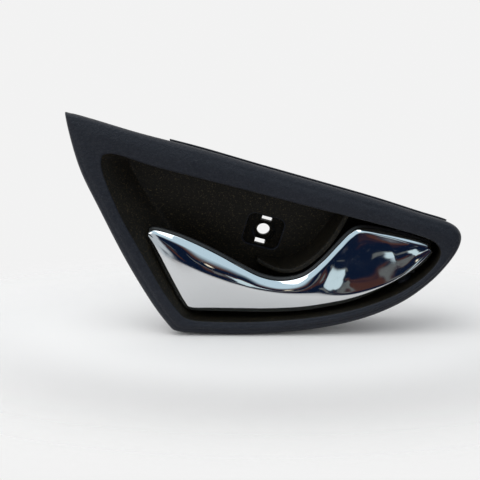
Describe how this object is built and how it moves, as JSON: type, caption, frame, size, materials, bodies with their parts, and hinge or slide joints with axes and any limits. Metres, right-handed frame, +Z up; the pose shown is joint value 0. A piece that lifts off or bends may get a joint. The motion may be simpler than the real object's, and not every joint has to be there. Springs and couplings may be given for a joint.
{
  "type": "car interior door handle",
  "caption": "Car interior door handle: black fin-shaped trim housing with a finger cup, and a plated S-shaped pull lever on a sprung hinge that works a latch cable.",
  "frame": {"origin": "centre of the bearing face of the fixing screw's seat, on the screw's axis", "axes": "+X along the bezel to its rounded nose, +Z up, -Y to the user"},
  "size_m": [0.2097, 0.0478, 0.1209],
  "materials": {
    "trim_plastic": "grained",
    "carrier_plastic": "satin",
    "plated_shell": "polished",
    "bright_steel": "zinc plated",
    "clip_steel": "passivated",
    "bush_plastic": "natural nylon",
    "buffer_rubber": "matte",
    "pad_felt": "felt"
  },
  "bodies": {
    "housing": {"housing": "trim_plastic", "screw_seat": "trim_plastic", "pivot_pin": "bright_steel", "pin_retaining_ring": "clip_steel", "return_spring": "bright_steel", "rest_buffer": "buffer_rubber", "open_buffer": "buffer_rubber", "cable_retainer": "bush_plastic", "panel_clip_tip": "clip_steel", "panel_clip_top": "clip_steel", "panel_clip_nose": "clip_steel", "panel_clip_side": "clip_steel", "felt_pad_upper": "pad_felt", "felt_pad_lower": "pad_felt"},
    "lever": {"lever_shell": "plated_shell", "lever_carrier": "carrier_plastic", "shell_screw_left": "bright_steel", "shell_screw_middle": "bright_steel", "shell_screw_right": "bright_steel", "pivot_bush_upper": "bush_plastic", "pivot_bush_lower": "bush_plastic", "cable_end_bush": "bush_plastic"}
  },
  "joints": [
    {"name": "lever_hinge", "type": "hinge", "parent": "housing", "child": "lever", "pos_m": [0.078, -0.01248, -0.012], "axis": [0, 0, 1], "range_deg": [0, 22], "stiffness_Nm_per_rad": 0.3, "springref_deg": -20.05, "deforming": ["return_spring"]}
  ]
}
